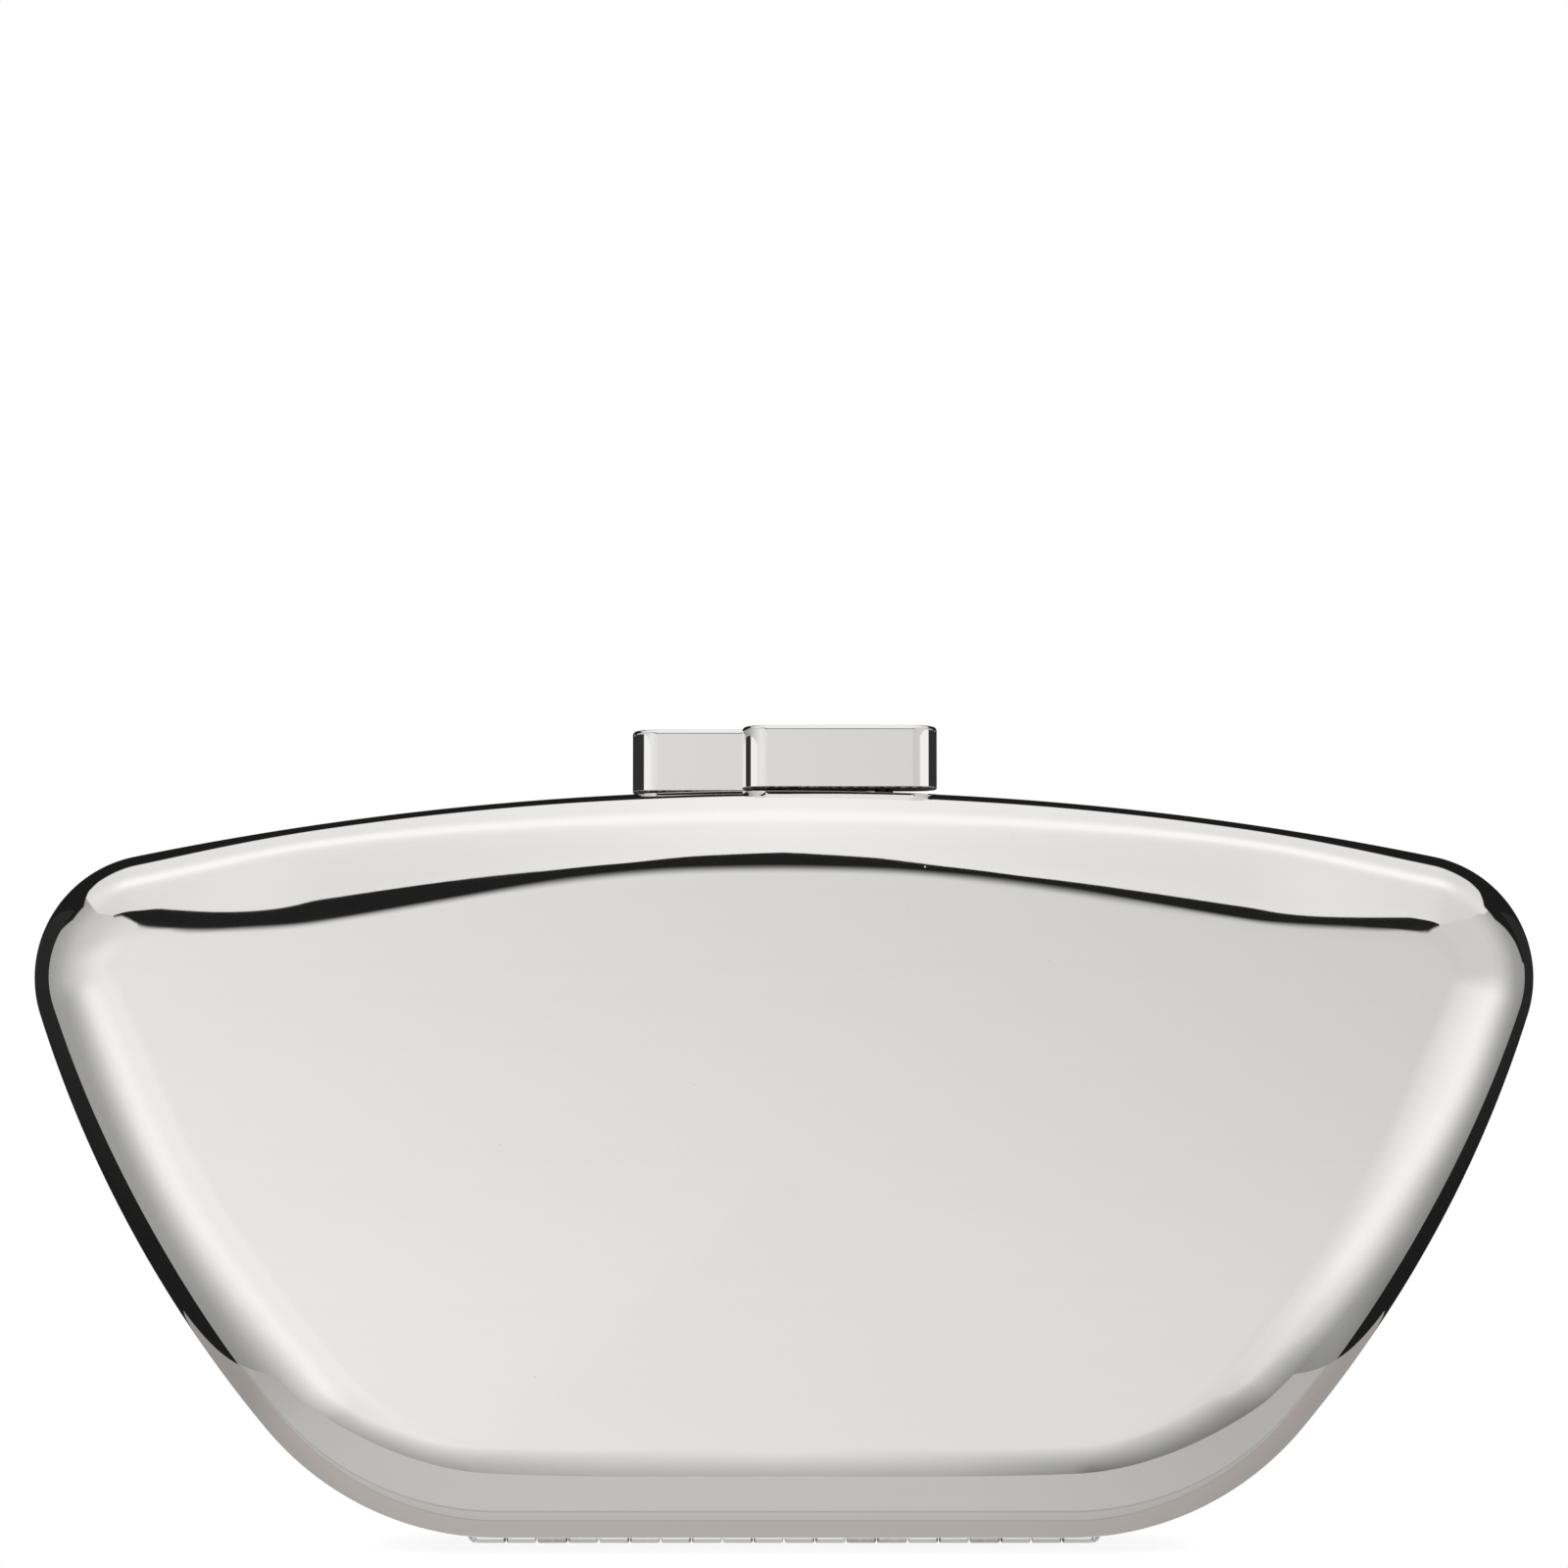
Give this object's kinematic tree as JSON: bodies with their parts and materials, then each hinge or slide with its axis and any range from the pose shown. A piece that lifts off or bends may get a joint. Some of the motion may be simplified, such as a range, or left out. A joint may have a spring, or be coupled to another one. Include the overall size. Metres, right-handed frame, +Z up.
{
  "type": "minaudiere",
  "caption": "Mirror-polished hard metal evening clutch with rolled edges, a long bottom hinge and sliding clasp bars on its arched top.",
  "frame": {"origin": "under the middle of the hinge, on the lowest line of its barrel", "axes": "+X along the hinge to the right as seen from the front, +Y from the front half to the back half, +Z up towards the clasp"},
  "size_m": [0.2, 0.045, 0.11],
  "materials": {
    "polished_silver": "mirror polished",
    "satin_silver": "satin",
    "hinge_silver": "polished",
    "latch_brass": "satin",
    "screw_steel": "turned",
    "spring_steel": "drawn",
    "suede_lining": "suede"
  },
  "bodies": {
    "back_half": {"back_shell": "polished_silver", "back_rim_frame": "satin_silver", "back_lining": "suede_lining", "back_hinge_leaf": "hinge_silver", "back_hinge_rivets": "hinge_silver", "back_return_spring": "spring_steel", "back_keeper": "latch_brass", "back_latch_cover": "satin_silver", "back_cover_screws": "screw_steel", "hinge_pin": "hinge_silver"},
    "back_clasp": {"back_clasp_bar": "polished_silver", "back_latch_slide": "latch_brass", "back_slide_screws": "screw_steel"},
    "front_half": {"front_shell": "polished_silver", "front_rim_frame": "satin_silver", "front_lining": "suede_lining", "front_hinge_leaf": "hinge_silver", "front_hinge_rivets": "hinge_silver", "front_return_spring": "spring_steel", "front_keeper": "latch_brass", "front_latch_cover": "satin_silver", "front_cover_screws": "screw_steel"},
    "front_clasp": {"front_clasp_bar": "polished_silver", "front_latch_slide": "latch_brass", "front_slide_screws": "screw_steel"}
  },
  "joints": [
    {"name": "shell_hinge", "type": "hinge", "parent": "back_half", "child": "front_half", "pos_m": [0, 0, 0.0016], "axis": [1, 0, 0], "range_deg": [0, 100]},
    {"name": "front_bar_slide", "type": "slide", "parent": "front_half", "child": "front_clasp", "axis": [-1, 0, 0], "range_m": [0, 0.003], "stiffness_N_per_m": 400, "springref_m": -0.002, "deforming": ["front_return_spring"]},
    {"name": "back_bar_slide", "type": "slide", "parent": "back_half", "child": "back_clasp", "axis": [1, 0, 0], "range_m": [0, 0.003], "stiffness_N_per_m": 400, "springref_m": -0.002, "deforming": ["back_return_spring"]}
  ]
}
